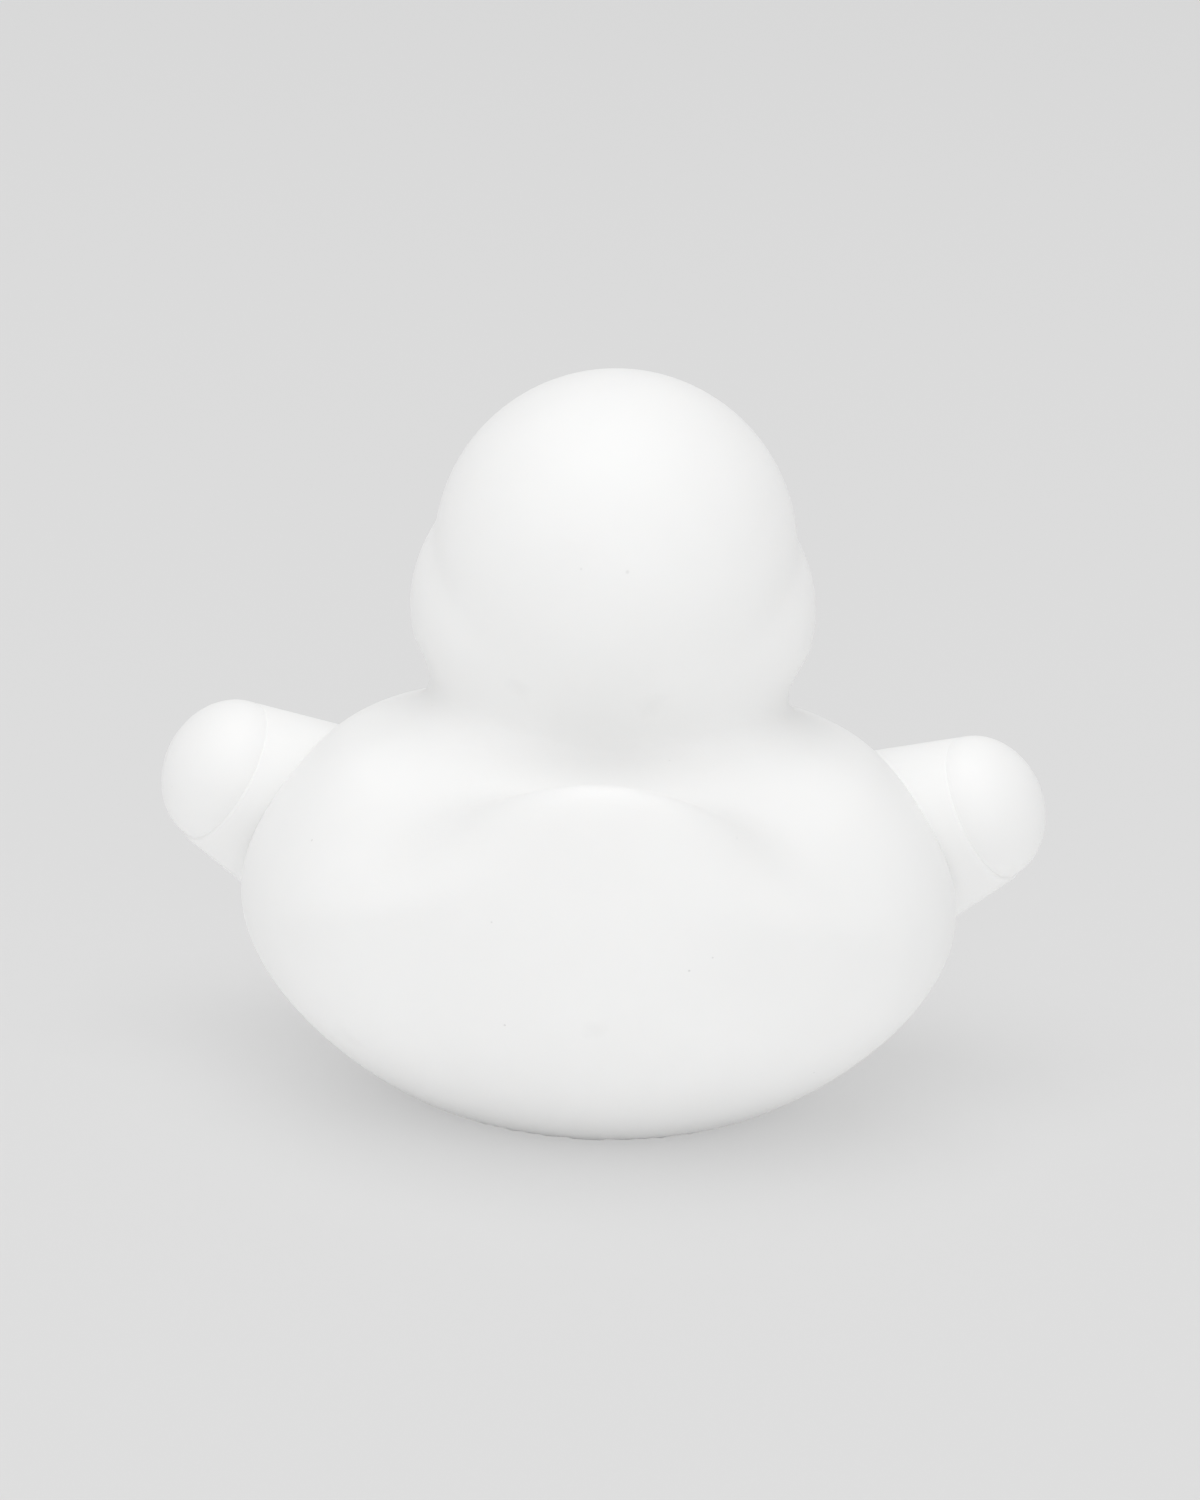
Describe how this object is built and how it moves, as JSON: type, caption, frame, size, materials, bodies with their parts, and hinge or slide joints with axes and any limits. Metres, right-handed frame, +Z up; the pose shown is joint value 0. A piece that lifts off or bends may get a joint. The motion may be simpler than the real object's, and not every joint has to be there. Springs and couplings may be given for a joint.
{
  "type": "rubber duck",
  "caption": "Plain white rubber duck with full cheeks, an upturned tail and short raised arms, moulded hollow in soft vinyl.",
  "frame": {"origin": "middle of the flat base", "axes": "+Z up, +Y the way the duck faces, +X towards its right hand"},
  "size_m": [0.09, 0.077, 0.0727],
  "materials": {
    "vinyl": "matt white soft vinyl"
  },
  "bodies": {
    "root": {"duck": "vinyl"}
  },
  "joints": []
}
